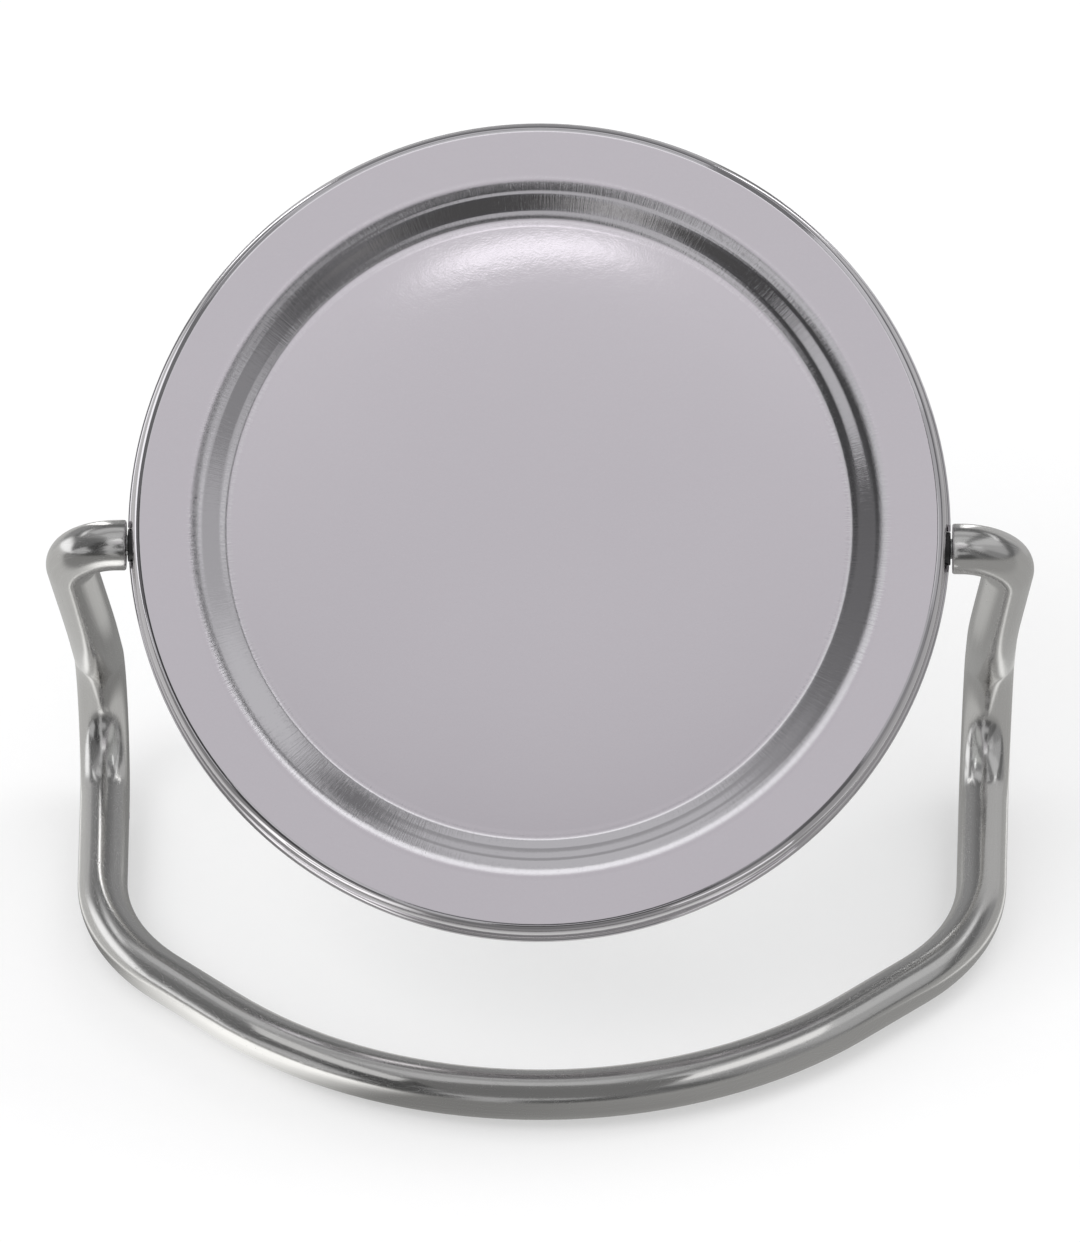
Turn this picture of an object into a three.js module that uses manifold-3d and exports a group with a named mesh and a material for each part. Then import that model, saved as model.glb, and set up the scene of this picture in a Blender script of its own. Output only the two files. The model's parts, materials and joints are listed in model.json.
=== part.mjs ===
// Free-standing tilting shaving mirror.
// A round head of two pressed covers hangs between the ends of one bent bar and tilts on two studs.
// Millimetres, +Z up, the mirror faces -Y. The origin is on the table, under the middle of the object.

import * as THREE from 'three';
import { mergeVertices } from 'three/addons/utils/BufferGeometryUtils.js';
import Module from 'manifold-3d';

const wasm = await Module();
wasm.setup();

// ---- driving dimensions -------------------------------------------------------------------------

const gap = 0.3;                  // clearance between pieces that touch
const axisBehind = 4.9381;        // how far the tilt axis lies behind the middle of the object
const restTilt = 43;              // how far the head leans back at rest, degrees

// stand: corners of the bent bar's centre line, measured from the tilt axis
const barRadius = 5;
const footLift = 1.2;             // height of the bar above the table
const axisRise = 84;              // tilt axis above the base legs' centre line
const barEndX = 81.6;                // the bar's ends stop just outside the rolled lip
const elbow = { x: 93.9, y: 0, z: 0, bend: 9.6 };
const knee = { x: 89.9, y: 19.3, z: -34.6, bend: 80 };
const heel = { x: 88.9, y: 63.7, z: -axisRise, bend: 17 };
const corner = { x: 87.6, y: -18.5, z: -axisRise, bend: 43.7 };
const nose = { x: 0, y: -103, z: -axisRise, bend: 89.3 };
const axisHeight = footLift + barRadius + axisRise;

// feet
const footRadius = 2.6;
const footInset = 2.3;            // the pads sit towards the inside of the bar, out of sight
const footTop = 2.6;
const rearFootY = 36;
const frontFootX = 42;

// head: radii from its centre, heights along its own axis from the tilt axis, + towards the metal face
const pivotDrop = 3;              // tilt axis below the head's centre
const sheet = 0.8;                // thickness of the pressed covers
const lipRadius = 81.3;
const wallRadius = 80.6;
const shoulderRadius = 80.4;
const faceRadius = 78.2;
const stepOuter = 68.6;
const stepInner = 61.6;
const faceHeight = 9;
const stepDepth = 2.6;
const crown = 0.7;                // rise of the recessed middle at its centre
const shoulderHeight = 6.4;
const lipHeight = 1.1;
const lipFlare = 0.8;             // height over which the wall flares out to the lip
const windowRadius = 72.6;        // opening of the rear cover, where the glass shows
const rolledEdge = 0.5;           // chamfer that stands for the opening's rolled edge
const backHeight = -9.4;

const glass = { radius: 76.2, top: -4.7, bottom: -7.5 };
const gasket = { outer: 77.6, inner: 72.9, top: -7.8, bottom: -8.3 };
const foam = { radius: 58, top: 3.7, bottom: -4.4 };
const plate = { radius: 74.4, top: 5, bottom: 4 };
const ring = { outer: 79.1, inner: 75.1, ledge: 70.4, top: 6.4, ledgeTop: 3.7, ledgeBottom: -1.3, bottom: -4.4 };

// tilt hardware along X
const studRadius = 2;
const studInnerX = 63.4;
const studOuterX = 89.2;
const block = { innerX: 62.6, outerX: 74, pocketX: 69.5, halfWidth: 9, pocketHalf: 4.5, top: 3.7, bottom: -4.3 };
const bushing = { innerX: 74.3, flangeX: 74.8, outerX: 81.3, radius: 3.3, flangeRadius: 4.6 };
const washer = { innerX: 68.1, outerX: 69.2, radius: 3.6 };
const nut = { innerX: 64.2, outerX: 67.8, radius: 3.7 };
const blockScrewOffset = 6.8;
const blockScrewX = 66;
const plateScrewRadius = 72.5;
const screwRadius = 1.1;
const screwHead = { radius: 1.9, height: 1 };
const plateScrewLength = 4.5;
const blockScrewLength = 5.5;
const screwSeat = plate.top + 0.1;  // underside of the screw heads
const screwClearance = 0.25;       // added to a screw's radius for its hole
const studFit = 0.2;              // added to the stud's radius for its bearings

const roundSides = 56;
const smallSides = 16;
const screwSides = 10;

// ---- solids and booleans ------------------------------------------------------------------------

function toSolid(geometry) {
  const bare = geometry.clone();
  bare.deleteAttribute('normal');
  bare.deleteAttribute('uv');
  const merged = mergeVertices(bare, 1e-4);
  return new wasm.Manifold(new wasm.Mesh({
    numProp: 3,
    vertProperties: new Float32Array(merged.attributes.position.array),
    triVerts: new Uint32Array(merged.index.array),
  }));
}

function toGeometry(solid) {
  const mesh = solid.getMesh();
  const geometry = new THREE.BufferGeometry();
  geometry.setAttribute('position', new THREE.BufferAttribute(new Float32Array(mesh.vertProperties), 3));
  geometry.setIndex(new THREE.BufferAttribute(new Uint32Array(mesh.triVerts), 1));
  geometry.computeVertexNormals();
  return geometry;
}

function cut(geometry, tools) {
  return toGeometry(tools.reduce((solid, tool) => solid.subtract(toSolid(tool)), toSolid(geometry)));
}

// a solid of revolution about Y; the outline is a list of [radius, height]
function turned(outline, sides = roundSides) {
  return new THREE.LatheGeometry(outline.map(([r, h]) => new THREE.Vector2(r, h)), sides);
}

function disc(radius, bottom, top, sides = roundSides) {
  return turned([[0, bottom], [radius, bottom], [radius, top], [0, top]], sides);
}

function hoop(inner, outer, bottom, top, sides = roundSides) {
  return turned([[inner, bottom], [outer, bottom], [outer, top], [inner, top], [inner, bottom]], sides);
}

// turns a Y-axis solid so that its axis runs along X, from low to high
function alongX(geometry) {
  return geometry.rotateZ(-Math.PI / 2);
}

function rodX(radius, x0, x1, z = 0, sides = smallSides) {
  return alongX(disc(radius, x0, x1, sides)).translate(0, 0, z);
}

function box(x0, x1, y0, y1, z0, z1) {
  return new THREE.BoxGeometry(x1 - x0, y1 - y0, z1 - z0)
    .translate((x0 + x1) / 2, (y0 + y1) / 2, (z0 + z1) / 2);
}

// ---- materials ----------------------------------------------------------------------------------

function finish(color, roughness, metalness) {
  return () => new THREE.MeshStandardMaterial({ color, roughness, metalness });
}

const polishedSteel = finish(0xb9b6bb, 0.16, 1);
const brushedSteel = finish(0xa9a8a6, 0.26, 1);
const zincSteel = finish(0x9c9ea3, 0.4, 1);
const mirrorSilver = finish(0xdfe3e6, 0.03, 1);
const nylon = finish(0x2b2b2d, 0.5, 0);
const carrierPlastic = finish(0x3a3b3d, 0.55, 0);
const foamGrey = finish(0x6b6c6e, 0.95, 0);
const clearSilicone = finish(0xdfe2e2, 0.35, 0);
const gasketRubber = finish(0x1e1e1f, 0.7, 0);

function piece(name, geometry, material) {
  const mesh = new THREE.Mesh(geometry, material());
  mesh.name = name;
  return mesh;
}

// ---- the bent bar -------------------------------------------------------------------------------

// a line through corners, each rounded by its bend, with a station at every step of an arc
class BentLine extends THREE.Curve {
  constructor(corners, degreesPerStep) {
    super();
    this.stations = [];
    const last = corners.length - 1;
    this.addStation(corners[0].at, corners[1].at.clone().sub(corners[0].at));
    for (let i = 1; i < last; i += 1) {
      this.addBend(corners[i - 1].at, corners[i].at, corners[i + 1].at, corners[i].bend, degreesPerStep);
    }
    this.addStation(corners[last].at, corners[last].at.clone().sub(corners[last - 1].at));
  }

  addStation(point, direction) {
    this.stations.push({ point: point.clone(), direction: direction.clone().normalize() });
  }

  addBend(before, at, after, bend, degreesPerStep) {
    const incoming = at.clone().sub(before).normalize();
    const outgoing = after.clone().sub(at).normalize();
    const turn = incoming.angleTo(outgoing);
    const start = at.clone().addScaledVector(incoming, -bend * Math.tan(turn / 2));
    const inward = outgoing.clone().addScaledVector(incoming, -incoming.dot(outgoing)).normalize();
    const centre = start.clone().addScaledVector(inward, bend);
    const steps = Math.max(3, Math.round(THREE.MathUtils.radToDeg(turn) / degreesPerStep));
    for (let k = 0; k <= steps; k += 1) {
      const angle = turn * k / steps;
      const point = centre.clone()
        .addScaledVector(inward, -bend * Math.cos(angle))
        .addScaledVector(incoming, bend * Math.sin(angle));
      const direction = incoming.clone().multiplyScalar(Math.cos(angle))
        .addScaledVector(inward, Math.sin(angle));
      this.addStation(point, direction);
    }
  }

  get steps() {
    return this.stations.length - 1;
  }

  between(t, key) {
    const place = Math.min(Math.max(t, 0), 1) * this.steps;
    const low = Math.min(Math.floor(place), this.steps - 1);
    return this.stations[low][key].clone().lerp(this.stations[low + 1][key], place - low);
  }

  getPoint(t) {
    return this.between(t, 'point');
  }

  getTangent(t) {
    return this.between(t, 'direction').normalize();
  }

  getUtoTmapping(u) {
    return u;
  }
}

function barLine() {
  const half = [{ x: barEndX, y: 0, z: 0, bend: 0 }, elbow, knee, heel, corner];
  const right = half.map((c) => ({ at: new THREE.Vector3(c.x, c.y, c.z), bend: c.bend }));
  const left = half.map((c) => ({ at: new THREE.Vector3(-c.x, c.y, c.z), bend: c.bend })).reverse();
  const middle = { at: new THREE.Vector3(nose.x, nose.y, nose.z), bend: nose.bend };
  return new BentLine([...right, middle, ...left], 12);
}

function circleShape(radius, sides) {
  const points = Array.from({ length: sides }, (_, i) => new THREE.Vector2(
    radius * Math.cos(2 * Math.PI * i / sides),
    radius * Math.sin(2 * Math.PI * i / sides),
  ));
  return new THREE.Shape(points);
}

function standBar(line) {
  const bar = new THREE.ExtrudeGeometry(circleShape(barRadius, 16), {
    steps: line.steps,
    extrudePath: line,
    bevelEnabled: false,
  });
  const hole = studRadius + gap;
  const holeEnd = studOuterX + gap;
  return cut(bar, [rodX(hole, barEndX - 1, holeEnd), rodX(hole, -holeEnd, 1 - barEndX)]);
}

// the place on one side of the base where wanted() is least
function nearestStation(line, side, wanted) {
  const samples = 2000;
  const base = Array.from({ length: samples + 1 }, (_, i) => i / samples)
    .map((t) => ({ point: line.getPoint(t), direction: line.getTangent(t) }))
    .filter((s) => s.point.z < -axisRise + gap && Math.sign(s.point.x) === side);
  return base.reduce((best, s) => (wanted(s.point) < wanted(best.point) ? s : best));
}

// a bumper stuck under the bar, hollowed on top to the bar's curve
function foot(station) {
  const across = new THREE.Vector3(-station.direction.y, station.direction.x, 0).normalize();
  const inward = across.dot(station.point) > 0 ? -footInset : footInset;
  const pad = disc(footRadius, 0, footTop, 20).rotateX(Math.PI / 2)
    .translate(station.point.x + across.x * inward, station.point.y + across.y * inward, 0);
  const saddle = disc(barRadius + gap, -3 * footRadius, 3 * footRadius, 30)
    .rotateZ(-Math.PI / 2)
    .rotateZ(Math.atan2(station.direction.y, station.direction.x))
    .translate(station.point.x, station.point.y, footLift + barRadius);
  return cut(pad, [saddle]);
}

// ---- the head -----------------------------------------------------------------------------------

// the inner side of a sheet whose outer side is the given outline
function inset(outline, thickness) {
  return outline.map(([r, h], i) => {
    const [r0, h0] = outline[Math.max(i - 1, 0)];
    const [r1, h1] = outline[Math.min(i + 1, outline.length - 1)];
    const length = Math.hypot(r1 - r0, h1 - h0);
    return [Math.max(0, r + thickness * (h1 - h0) / length), h - thickness * (r1 - r0) / length];
  });
}

function quarterRound(r0, h0, r1, h1, steps) {
  return Array.from({ length: steps + 1 }, (_, i) => {
    const angle = Math.PI / 2 * i / steps;
    return [r0 + (r1 - r0) * Math.sin(angle), h1 + (h0 - h1) * Math.cos(angle)];
  });
}

// drills for the pivots, from inside the carrier ring to outside the lip
function pivotHoles(radius) {
  const from = block.innerX;
  const to = lipRadius + 5;
  return [rodX(radius, from, to, pivotDrop), rodX(radius, -to, -from, pivotDrop)];
}

function frontShell() {
  const floor = faceHeight - stepDepth;
  const stepPoints = 6;
  const middle = [0, 0.4, 0.75].map((share) => [stepInner * share, floor + crown * (1 - share ** 2)]);
  const step = Array.from({ length: stepPoints + 1 }, (_, i) => [
    stepInner + (stepOuter - stepInner) * i / stepPoints,
    floor + stepDepth * (1 - Math.cos(Math.PI * i / stepPoints)) / 2,
  ]);
  const shoulder = quarterRound(faceRadius, faceHeight, shoulderRadius, shoulderHeight, 3);
  const outer = [...middle, ...step, ...shoulder];
  const inner = inset(outer, sheet).reverse();
  inner[inner.length - 1] = [0, floor + crown - sheet];
  const lip = [[wallRadius, lipHeight + lipFlare], [lipRadius, lipHeight], [lipRadius, gap / 2]];
  const wall = [[wallRadius - sheet, gap / 2]];
  const outline = [...outer, ...lip, ...wall, ...inner].reverse();
  return cut(turned(outline), pivotHoles(bushing.radius + gap));
}

function rearShell() {
  const shoulder = quarterRound(faceRadius, backHeight, shoulderRadius, -shoulderHeight, 3);
  const outer = [[windowRadius, backHeight + gap], [windowRadius + rolledEdge, backHeight], ...shoulder];
  const inner = [
    [wallRadius - sheet, -gap / 2],
    [shoulderRadius - sheet, -shoulderHeight],
    [faceRadius, backHeight + sheet],
    [windowRadius, backHeight + sheet],
  ];
  const lip = [[wallRadius, -lipHeight - lipFlare], [lipRadius, -lipHeight], [lipRadius, -gap / 2]];
  return cut(turned([...outer, ...lip, ...inner, outer[0]]), pivotHoles(bushing.radius + gap));
}

function plateScrewPlaces() {
  return [45, 135, 225, 315].map((degrees) => {
    const angle = THREE.MathUtils.degToRad(degrees);
    return [plateScrewRadius * Math.cos(angle), plateScrewRadius * Math.sin(angle)];
  });
}

function blockScrewPlaces() {
  return [1, -1].flatMap((side) => [1, -1].map((end) => [
    side * blockScrewX,
    pivotDrop + end * blockScrewOffset,
  ]));
}

function screwHole(x, z, bottom, top) {
  return disc(screwRadius + screwClearance, bottom, top, screwSides).translate(x, 0, z);
}

function corePlate() {
  const places = [...plateScrewPlaces(), ...blockScrewPlaces()];
  const holes = places.map(([x, z]) => screwHole(x, z, plate.bottom - 1, plate.top + 1));
  return cut(disc(plate.radius, plate.bottom, plate.top), holes);
}

function carrierRing() {
  const body = turned([
    [ring.inner, ring.bottom],
    [ring.outer, ring.bottom],
    [ring.outer, ring.top],
    [ring.inner, ring.top],
    [ring.inner, ring.ledgeTop],
    [ring.ledge, ring.ledgeTop],
    [ring.ledge, ring.ledgeBottom],
    [ring.inner, ring.ledgeBottom],
    [ring.inner, ring.bottom],
  ]);
  const holes = plateScrewPlaces().map(([x, z]) => screwHole(x, z, ring.ledgeBottom + 1, ring.ledgeTop + 1));
  const reach = block.halfWidth + gap;
  const notches = [[block.innerX, ring.inner], [-ring.inner, -block.innerX]].map(([x0, x1]) => box(
    x0,
    x1,
    ring.bottom - 1,
    ring.ledgeTop + 1,
    pivotDrop - reach,
    pivotDrop + reach,
  ));
  return cut(body, [...holes, ...notches, ...pivotHoles(bushing.radius + gap)]);
}

function pivotBlock() {
  const body = box(block.innerX, block.outerX, block.bottom, block.top, -block.halfWidth, block.halfWidth);
  const pocket = box(
    block.innerX - 1,
    block.pocketX,
    block.bottom - 1,
    block.top + 1,
    -block.pocketHalf,
    block.pocketHalf,
  );
  const holes = [1, -1].map((end) => screwHole(blockScrewX, end * blockScrewOffset, -2, block.top + 1));
  return cut(body, [pocket, rodX(studRadius + studFit, block.innerX - 1, block.outerX + 1), ...holes]);
}

// a sleeve through the rim, with its flange inside the head
function pivotBushing() {
  const bore = studRadius + studFit;
  const outline = [
    [bore, bushing.innerX],
    [bushing.flangeRadius, bushing.innerX],
    [bushing.flangeRadius, bushing.flangeX],
    [bushing.radius, bushing.flangeX],
    [bushing.radius, bushing.outerX],
    [bore, bushing.outerX],
    [bore, bushing.innerX],
  ];
  return alongX(turned(outline, smallSides));
}

// a pan head screw that points towards the glass
function screw(x, z, seat, length) {
  const outline = [
    [0, seat - length],
    [screwRadius, seat - length],
    [screwRadius, seat],
    [screwHead.radius, seat],
    [screwHead.radius, seat + screwHead.height * 0.6],
    [screwHead.radius * 0.7, seat + screwHead.height],
    [0, seat + screwHead.height],
  ];
  return turned(outline, screwSides).translate(x, 0, z);
}

function springWasher() {
  const hole = studRadius + gap;
  const rise = 0.5;
  const outline = [
    [hole, washer.innerX],
    [washer.radius, washer.innerX + rise],
    [washer.radius, washer.outerX],
    [hole, washer.outerX - rise],
    [hole, washer.innerX],
  ];
  return alongX(turned(outline, smallSides));
}

function lockNut() {
  return alongX(hoop(studRadius + gap, nut.radius, nut.innerX, nut.outerX, 6));
}

function mirrored(geometry, side) {
  return side > 0 ? geometry : geometry.rotateY(Math.PI);
}

// ---- assembly -----------------------------------------------------------------------------------

function buildStand() {
  const stand = new THREE.Group();
  stand.position.set(0, axisBehind, 0);
  const line = barLine();
  const hung = new THREE.Group();
  hung.position.z = axisHeight;
  hung.add(piece('stand_bar', standBar(line), brushedSteel));
  const sides = [['left', -1], ['right', 1]];
  sides.forEach(([name, side]) => {
    hung.add(piece(`pivot_stud_${name}`, mirrored(rodX(studRadius, studInnerX, studOuterX), side), zincSteel));
    hung.add(piece(`friction_washer_${name}`, mirrored(springWasher(), side), zincSteel));
    hung.add(piece(`lock_nut_${name}`, mirrored(lockNut(), side), zincSteel));
    const rear = nearestStation(line, side, (p) => Math.hypot(p.x - side * heel.x, p.y - rearFootY));
    const front = nearestStation(line, side, (p) => Math.abs(p.x * side - frontFootX));
    stand.add(piece(`foot_rear_${name}`, foot(rear), clearSilicone));
    stand.add(piece(`foot_front_${name}`, foot(front), clearSilicone));
  });
  stand.add(hung);
  return stand;
}

function buildHead() {
  const head = new THREE.Group();
  head.position.set(0, axisBehind, axisHeight);
  head.rotation.x = Math.PI - THREE.MathUtils.degToRad(restTilt);
  const discs = new THREE.Group();
  discs.position.z = -pivotDrop;
  discs.add(piece('front_shell', frontShell(), polishedSteel));
  discs.add(piece('rear_shell', rearShell(), polishedSteel));
  discs.add(piece('carrier_ring', carrierRing(), carrierPlastic));
  discs.add(piece('core_plate', corePlate(), zincSteel));
  discs.add(piece('foam_core', disc(foam.radius, foam.bottom, foam.top, 36), foamGrey));
  discs.add(piece('mirror_glass', disc(glass.radius, glass.bottom, glass.top), mirrorSilver));
  discs.add(piece('glass_gasket', hoop(gasket.inner, gasket.outer, gasket.bottom, gasket.top), gasketRubber));
  plateScrewPlaces().forEach(([x, z], i) => {
    discs.add(piece(`plate_screw_${i + 1}`, screw(x, z, screwSeat, plateScrewLength), zincSteel));
  });
  blockScrewPlaces().forEach(([x, z], i) => {
    discs.add(piece(`block_screw_${i + 1}`, screw(x, z, screwSeat, blockScrewLength), zincSteel));
  });
  head.add(discs);
  [['left', -1], ['right', 1]].forEach(([name, side]) => {
    head.add(piece(`pivot_block_${name}`, mirrored(pivotBlock(), side), zincSteel));
    head.add(piece(`pivot_bushing_${name}`, mirrored(pivotBushing(), side), nylon));
  });
  return head;
}

const mirror = new THREE.Group();
mirror.add(buildStand(), buildHead());

export default mirror;
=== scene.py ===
# %% [markdown]
# # A tilting shaving mirror
# The mirror is a round head that hangs between the two ends of one bent steel bar and tilts on two studs.
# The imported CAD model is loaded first. It is the fixed frame: nothing in it is moved, and each finer
# piece made here takes the place of the CAD node that it stands for.

# %% Load the frame
import math

import bpy
from mathutils import Matrix, Vector
from mathutils.kdtree import KDTree
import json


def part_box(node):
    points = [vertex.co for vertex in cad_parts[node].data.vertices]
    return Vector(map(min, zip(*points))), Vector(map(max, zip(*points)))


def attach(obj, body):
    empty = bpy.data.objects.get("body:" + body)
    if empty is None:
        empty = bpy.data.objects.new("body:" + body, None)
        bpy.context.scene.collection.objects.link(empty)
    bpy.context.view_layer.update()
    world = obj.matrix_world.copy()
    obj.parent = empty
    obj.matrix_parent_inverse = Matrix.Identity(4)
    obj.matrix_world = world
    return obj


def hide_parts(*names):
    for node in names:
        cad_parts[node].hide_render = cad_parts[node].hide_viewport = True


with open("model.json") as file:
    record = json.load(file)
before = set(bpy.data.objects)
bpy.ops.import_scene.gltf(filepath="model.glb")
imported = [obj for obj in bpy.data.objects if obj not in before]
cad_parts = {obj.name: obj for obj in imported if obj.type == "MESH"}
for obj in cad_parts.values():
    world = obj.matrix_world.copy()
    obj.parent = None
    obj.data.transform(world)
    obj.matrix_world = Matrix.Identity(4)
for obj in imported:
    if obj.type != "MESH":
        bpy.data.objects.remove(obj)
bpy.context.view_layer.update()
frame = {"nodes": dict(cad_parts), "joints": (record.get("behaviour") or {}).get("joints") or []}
nodes = frame["nodes"]


# %% [markdown]
# ## Measures
# Every length is in metres. A millimetre is named once, so that sizes can be written as a maker
# would say them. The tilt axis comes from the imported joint, so the pieces made here follow the frame.

# %% Measures shared by several pieces
MM = 0.001
TINY = 1e-6
AXIS = Vector(frame["joints"][0]["pos_m"])
LEAN = math.radians(47)
PIVOT_DROP = 3 * MM
HEAD_UP = Vector((0, math.cos(LEAN), math.sin(LEAN)))
HEAD_CENTRE = AXIS + PIVOT_DROP * HEAD_UP
BAR_RADIUS = 5 * MM
print("tilt axis:", tuple(AXIS), "head centre:", tuple(HEAD_CENTRE))

# %% [markdown]
# ## The camera
# The mirror is seen from the front and well above, with a long lens, so it hardly tapers. The camera's
# place is worked out from the tilt axis: back along the line of sight, with a small turn and roll.

# %% Place the camera
SIGHT_DOWN = math.radians(37)
SIGHT_TURN = math.radians(-1.2)
SIGHT_ROLL = math.radians(0.46)
SIGHT_DISTANCE = 4.181
SIGHT_SIDE = -0.16 * MM
SIGHT_RISE = 14.61 * MM
LENS = 613.2

forward = Vector((math.sin(SIGHT_TURN) * math.cos(SIGHT_DOWN),
                  math.cos(SIGHT_TURN) * math.cos(SIGHT_DOWN),
                  -math.sin(SIGHT_DOWN)))
level_right = Vector((math.cos(SIGHT_TURN), -math.sin(SIGHT_TURN), 0))
level_up = level_right.cross(forward)
right = level_right * math.cos(SIGHT_ROLL) - level_up * math.sin(SIGHT_ROLL)
up = level_right * math.sin(SIGHT_ROLL) + level_up * math.cos(SIGHT_ROLL)

bpy.ops.object.camera_add()
camera = bpy.context.object
camera.name = "camera"
camera.matrix_world = Matrix((right, up, -forward)).transposed().to_4x4()
camera.location = AXIS - right * SIGHT_SIDE - up * SIGHT_RISE - forward * SIGHT_DISTANCE
camera.data.lens = LENS
camera.data.sensor_width = 36
camera.data.clip_end = 60
bpy.context.scene.camera = camera
print("camera at", tuple(round(c, 3) for c in camera.location))

# %% [markdown]
# ## Small helpers for modelling
# An operator acts on everything that is selected, so each piece starts with nothing selected. Edit mode
# keeps its selection in a BMesh, where faces and edges are picked by their place or normal.

# %% Selecting in edit mode
import bmesh


def clear_selection():
    if bpy.context.object and bpy.context.object.mode != "OBJECT":
        bpy.ops.object.mode_set(mode="OBJECT")
    bpy.ops.object.select_all(action="DESELECT")


def edit(piece):
    clear_selection()
    piece.select_set(True)
    bpy.context.view_layer.objects.active = piece
    bpy.ops.object.mode_set(mode="EDIT")


def pick(kind, wanted):
    """Selects the faces, edges or verts that wanted() says yes to, and nothing else."""
    mesh = bmesh.from_edit_mesh(bpy.context.edit_object.data)
    bpy.ops.mesh.select_mode(type={"faces": "FACE", "edges": "EDGE", "verts": "VERT"}[kind])
    bpy.ops.mesh.select_all(action="DESELECT")
    count = 0
    for item in getattr(mesh, kind):
        if wanted(item):
            item.select_set(True)
            count += 1
    mesh.select_flush_mode()
    bmesh.update_edit_mesh(bpy.context.edit_object.data)
    return count


def selected_centre():
    mesh = bmesh.from_edit_mesh(bpy.context.edit_object.data)
    places = [v.co for v in mesh.verts if v.select]
    return sum(places, Vector()) / len(places)


def settle(piece, name, smooth_below=35):
    """Leaves a finished piece at the origin, with its place in its mesh, and smooth shaded."""
    if bpy.context.object.mode != "OBJECT":
        bpy.ops.object.mode_set(mode="OBJECT")
    clear_selection()
    piece.select_set(True)
    bpy.context.view_layer.objects.active = piece
    bpy.ops.object.transform_apply(location=True, rotation=True, scale=True)
    bpy.ops.object.shade_smooth_by_angle(angle=math.radians(smooth_below))
    piece.name = name
    piece.data.name = name
    print(name, "has", len(piece.data.polygons), "faces")
    return piece


# %% [markdown]
# What repeats is modelled once and copied. Each copy gets a mesh of its own, so that it can be turned
# and settled in its place without moving the others.

# %% Copies
def copied(piece):
    twin = piece.copy()
    twin.data = piece.data.copy()
    bpy.context.collection.objects.link(twin)
    return twin


# %% [markdown]
# ## Turned pieces
# Shells, glass, gasket and bushings are all round. On a lathe the outline is traced once and the work
# spins. Here one point is extruded along the outline, and the line is spun about the Z axis. The seam
# and the poles are then merged, so the solid is closed, before its normals are made to point outwards.

# %% The lathe
def turned(outline, steps, closed=True):
    """A solid of revolution about Z. The outline is a list of (radius, height) in millimetres."""
    clear_selection()
    points = [Vector((r * MM, 0, h * MM)) for r, h in outline]
    if closed:
        points.append(points[0])
    bpy.ops.mesh.primitive_plane_add(size=MM, location=(0, 0, 0))
    piece = bpy.context.object
    bpy.ops.object.mode_set(mode="EDIT")
    bpy.ops.mesh.select_all(action="SELECT")
    bpy.ops.mesh.merge(type="CENTER")
    bpy.ops.transform.translate(value=points[0])
    for here, there in zip(points, points[1:]):
        bpy.ops.mesh.extrude_region_move(TRANSFORM_OT_translate={"value": there - here})
    bpy.ops.mesh.select_all(action="SELECT")
    bpy.ops.mesh.remove_doubles(threshold=TINY)
    bpy.ops.mesh.select_all(action="SELECT")
    bpy.ops.mesh.spin(steps=steps, angle=2 * math.pi, center=(0, 0, 0), axis=(0, 0, 1))
    bpy.ops.mesh.select_all(action="SELECT")
    bpy.ops.mesh.remove_doubles(threshold=TINY)
    bpy.ops.mesh.select_all(action="SELECT")
    bpy.ops.mesh.normals_make_consistent(inside=False)
    bpy.ops.object.mode_set(mode="OBJECT")
    return piece


def arc(centre, radius, start, end, steps):
    """Points of a round corner in an outline, angles in degrees from the outward direction."""
    angles = [math.radians(start + (end - start) * i / steps) for i in range(steps + 1)]
    return [(centre[0] + radius[0] * math.cos(a), centre[1] + radius[1] * math.sin(a)) for a in angles]


def hang(piece, along_x=0):
    """Turns a piece made about Z so that it lies in the head, or along X at the tilt axis."""
    if along_x:
        piece.rotation_euler = (0, math.radians(90) * along_x, 0)
        piece.location = AXIS
    else:
        piece.rotation_euler = (LEAN, 0, 0)
        piece.location = HEAD_CENTRE
    return piece


def carve(piece, cutter):
    """Takes the cutter's shape out of the piece, and the cutter away."""
    clear_selection()
    piece.select_set(True)
    bpy.context.view_layer.objects.active = piece
    tool = piece.modifiers.new("carve", "BOOLEAN")
    tool.operation = "DIFFERENCE"
    tool.solver = "EXACT"
    tool.object = cutter
    bpy.ops.object.modifier_apply(modifier=tool.name)
    bpy.data.objects.remove(cutter)


# %% [markdown]
# ## The front shell
# The metal face is one sheet, pressed in a die: a recessed middle with a slight crown, a sloping step
# with soft fillets, a flat border, a round shoulder and a short side that ends in a rolled lip. The
# outline goes down the outside and comes back up the inside, a sheet's thickness away.

# %% Outline of the front shell
SHEET = 0.8
LIP_RADIUS = 81.3
WALL_RADIUS = 80.6
SHOULDER_RADIUS = 80.4
FACE_RADIUS = 78.6
FACE_HEIGHT = 9
STEP_SLOPES = [  # radius, and slope of the sheet there in degrees
    (61.3, 0), (61.85, 9), (62.1, 13), (62.7, 15.5), (63.2, 20), (63.8, 27), (64.6, 30), (65.4, 30),
    (66.0, 24), (66.5, 18), (67.2, 11.5), (68.3, 7), (69.0, 4), (69.2, 0),
]
STEP_INNER = STEP_SLOPES[0][0]
STEP_OUTER = STEP_SLOPES[-1][0]
CROWN = 0.7
SHOULDER_HEIGHT = 6.4
LIP_HEIGHT = 1.1
SEAM = 0.15
ROUND_STEPS = 192


def slope_at(radius):
    for (r0, slope0), (r1, slope1) in zip(STEP_SLOPES, STEP_SLOPES[1:]):
        if radius <= r1:
            return slope0 + (slope1 - slope0) * (radius - r0) / (r1 - r0)
    return 0


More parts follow.
